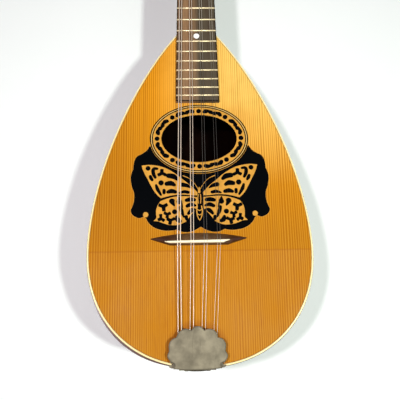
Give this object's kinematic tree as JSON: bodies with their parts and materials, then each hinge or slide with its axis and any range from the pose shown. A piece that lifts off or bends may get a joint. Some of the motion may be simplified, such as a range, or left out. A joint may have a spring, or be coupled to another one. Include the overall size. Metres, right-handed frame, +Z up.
{
  "type": "bowlback mandolin",
  "caption": "Bowlback mandolin with a ribbed bowl, canted soundboard, oval sound hole, paired strings, floating bridge and geared tuners.",
  "frame": {"origin": "on the centre line at the front of the neck, at the nut's playing edge, where the headstock shoulders start", "axes": "+X to the treble side, +Y from the soundboard's front into the bowl, +Z up the neck to the headstock"},
  "size_m": [0.1916, 0.1506, 0.5838],
  "materials": {
    "spruce": "amber varnish over straight-grained spruce",
    "cream_edge": "cream edge binding, polished",
    "dark_guard": "near-black polished plate",
    "golden_inlay": "golden mottled inlay, polished",
    "bowl_wood": "red-brown varnished staves",
    "inner_wood": "bare softwood",
    "neck_wood": "red-brown varnished wood",
    "rosewood": "dark oiled fingerboard wood",
    "bridge_wood": "dark oiled bridge wood",
    "bone": "polished bone",
    "nickel": "satin nickel plate, slightly dulled",
    "brass": "dulled brass",
    "steel": "bright steel",
    "steel_wire": "plain steel wire",
    "bronze_wire": "wound bronze wire",
    "pearl_button": "pearly cream plastic"
  },
  "bodies": {
    "body_and_neck": {"soundboard": "spruce", "binding": "cream_edge", "pickguard": "dark_guard", "butterfly_inlay": "golden_inlay", "rosette": "golden_inlay", "neck_block": "inner_wood", "tail_block": "inner_wood", "rim_lining": "inner_wood", "brace_upper": "inner_wood", "brace_lower": "inner_wood", "neck": "neck_wood", "fingerboard": "rosewood", "nut": "bone", "bridge_base": "bridge_wood", "bridge_saddle": "bone", "tailpiece_base": "nickel", "tuner_plate_bass": "brass", "tuner_plate_treble": "brass", "bowl_rib_1": "bowl_wood", "bowl_rib_2": "bowl_wood", "bowl_rib_3": "bowl_wood", "bowl_rib_4": "bowl_wood", "bowl_rib_5": "bowl_wood", "bowl_rib_6": "bowl_wood", "bowl_rib_7": "bowl_wood", "bowl_rib_8": "bowl_wood", "bowl_rib_9": "bowl_wood", "string_g1": "bronze_wire", "string_g2": "bronze_wire", "string_d1": "bronze_wire", "string_d2": "bronze_wire", "string_a1": "steel_wire", "string_a2": "steel_wire", "string_e1": "steel_wire", "string_e2": "steel_wire"},
    "cover": {"tailpiece_cover": "nickel"},
    "tuner_g1": {"tuner_button_g1": "pearl_button", "worm_shaft_g1": "steel"},
    "post_g1": {"string_post_g1": "brass"},
    "tuner_g2": {"tuner_button_g2": "pearl_button", "worm_shaft_g2": "steel"},
    "post_g2": {"string_post_g2": "brass"},
    "tuner_d1": {"tuner_button_d1": "pearl_button", "worm_shaft_d1": "steel"},
    "post_d1": {"string_post_d1": "brass"},
    "tuner_d2": {"tuner_button_d2": "pearl_button", "worm_shaft_d2": "steel"},
    "post_d2": {"string_post_d2": "brass"},
    "tuner_a1": {"tuner_button_a1": "pearl_button", "worm_shaft_a1": "steel"},
    "post_a1": {"string_post_a1": "brass"},
    "tuner_a2": {"tuner_button_a2": "pearl_button", "worm_shaft_a2": "steel"},
    "post_a2": {"string_post_a2": "brass"},
    "tuner_e1": {"tuner_button_e1": "pearl_button", "worm_shaft_e1": "steel"},
    "post_e1": {"string_post_e1": "brass"},
    "tuner_e2": {"tuner_button_e2": "pearl_button", "worm_shaft_e2": "steel"},
    "post_e2": {"string_post_e2": "brass"}
  },
  "joints": [
    {"name": "cover_slide", "type": "slide", "parent": "body_and_neck", "child": "cover", "axis": [0, -0.0872, 0.9962], "range_m": [0, 0.035]},
    {"name": "button_turn_g1", "type": "hinge", "parent": "body_and_neck", "child": "tuner_g1", "pos_m": [-0.02, 0.02755, 0.03897], "axis": [1, 0, 0], "continuous": true},
    {"name": "post_turn_g1", "type": "hinge", "parent": "body_and_neck", "child": "post_g1", "pos_m": [-0.02, 0.02546, 0.02991], "axis": [0, 0.9744, -0.225], "continuous": true},
    {"name": "button_turn_g2", "type": "hinge", "parent": "body_and_neck", "child": "tuner_g2", "pos_m": [-0.02, 0.03272, 0.06138], "axis": [1, 0, 0], "continuous": true},
    {"name": "post_turn_g2", "type": "hinge", "parent": "body_and_neck", "child": "post_g2", "pos_m": [-0.02, 0.03063, 0.05232], "axis": [0, 0.9744, -0.225], "continuous": true},
    {"name": "button_turn_d1", "type": "hinge", "parent": "body_and_neck", "child": "tuner_d1", "pos_m": [-0.02, 0.0379, 0.08379], "axis": [1, 0, 0], "continuous": true},
    {"name": "post_turn_d1", "type": "hinge", "parent": "body_and_neck", "child": "post_d1", "pos_m": [-0.02, 0.0358, 0.07473], "axis": [0, 0.9744, -0.225], "continuous": true},
    {"name": "button_turn_d2", "type": "hinge", "parent": "body_and_neck", "child": "tuner_d2", "pos_m": [-0.02, 0.04307, 0.1062], "axis": [1, 0, 0], "continuous": true},
    {"name": "post_turn_d2", "type": "hinge", "parent": "body_and_neck", "child": "post_d2", "pos_m": [-0.02, 0.04098, 0.09714], "axis": [0, 0.9744, -0.225], "continuous": true},
    {"name": "button_turn_a1", "type": "hinge", "parent": "body_and_neck", "child": "tuner_a1", "pos_m": [0.02, 0.04307, 0.1062], "axis": [1, 0, 0], "continuous": true},
    {"name": "post_turn_a1", "type": "hinge", "parent": "body_and_neck", "child": "post_a1", "pos_m": [0.02, 0.04098, 0.09714], "axis": [0, 0.9744, -0.225], "continuous": true},
    {"name": "button_turn_a2", "type": "hinge", "parent": "body_and_neck", "child": "tuner_a2", "pos_m": [0.02, 0.0379, 0.08379], "axis": [1, 0, 0], "continuous": true},
    {"name": "post_turn_a2", "type": "hinge", "parent": "body_and_neck", "child": "post_a2", "pos_m": [0.02, 0.0358, 0.07473], "axis": [0, 0.9744, -0.225], "continuous": true},
    {"name": "button_turn_e1", "type": "hinge", "parent": "body_and_neck", "child": "tuner_e1", "pos_m": [0.02, 0.03272, 0.06138], "axis": [1, 0, 0], "continuous": true},
    {"name": "post_turn_e1", "type": "hinge", "parent": "body_and_neck", "child": "post_e1", "pos_m": [0.02, 0.03063, 0.05232], "axis": [0, 0.9744, -0.225], "continuous": true},
    {"name": "button_turn_e2", "type": "hinge", "parent": "body_and_neck", "child": "tuner_e2", "pos_m": [0.02, 0.02755, 0.03897], "axis": [1, 0, 0], "continuous": true},
    {"name": "post_turn_e2", "type": "hinge", "parent": "body_and_neck", "child": "post_e2", "pos_m": [0.02, 0.02546, 0.02991], "axis": [0, 0.9744, -0.225], "continuous": true}
  ],
  "couplings": [
    {"joint": "post_turn_g1", "follows": "button_turn_g1", "ratio": -0.071429},
    {"joint": "post_turn_g2", "follows": "button_turn_g2", "ratio": -0.071429},
    {"joint": "post_turn_d1", "follows": "button_turn_d1", "ratio": -0.071429},
    {"joint": "post_turn_d2", "follows": "button_turn_d2", "ratio": -0.071429},
    {"joint": "post_turn_a1", "follows": "button_turn_a1", "ratio": -0.071429},
    {"joint": "post_turn_a2", "follows": "button_turn_a2", "ratio": -0.071429},
    {"joint": "post_turn_e1", "follows": "button_turn_e1", "ratio": -0.071429},
    {"joint": "post_turn_e2", "follows": "button_turn_e2", "ratio": -0.071429}
  ]
}
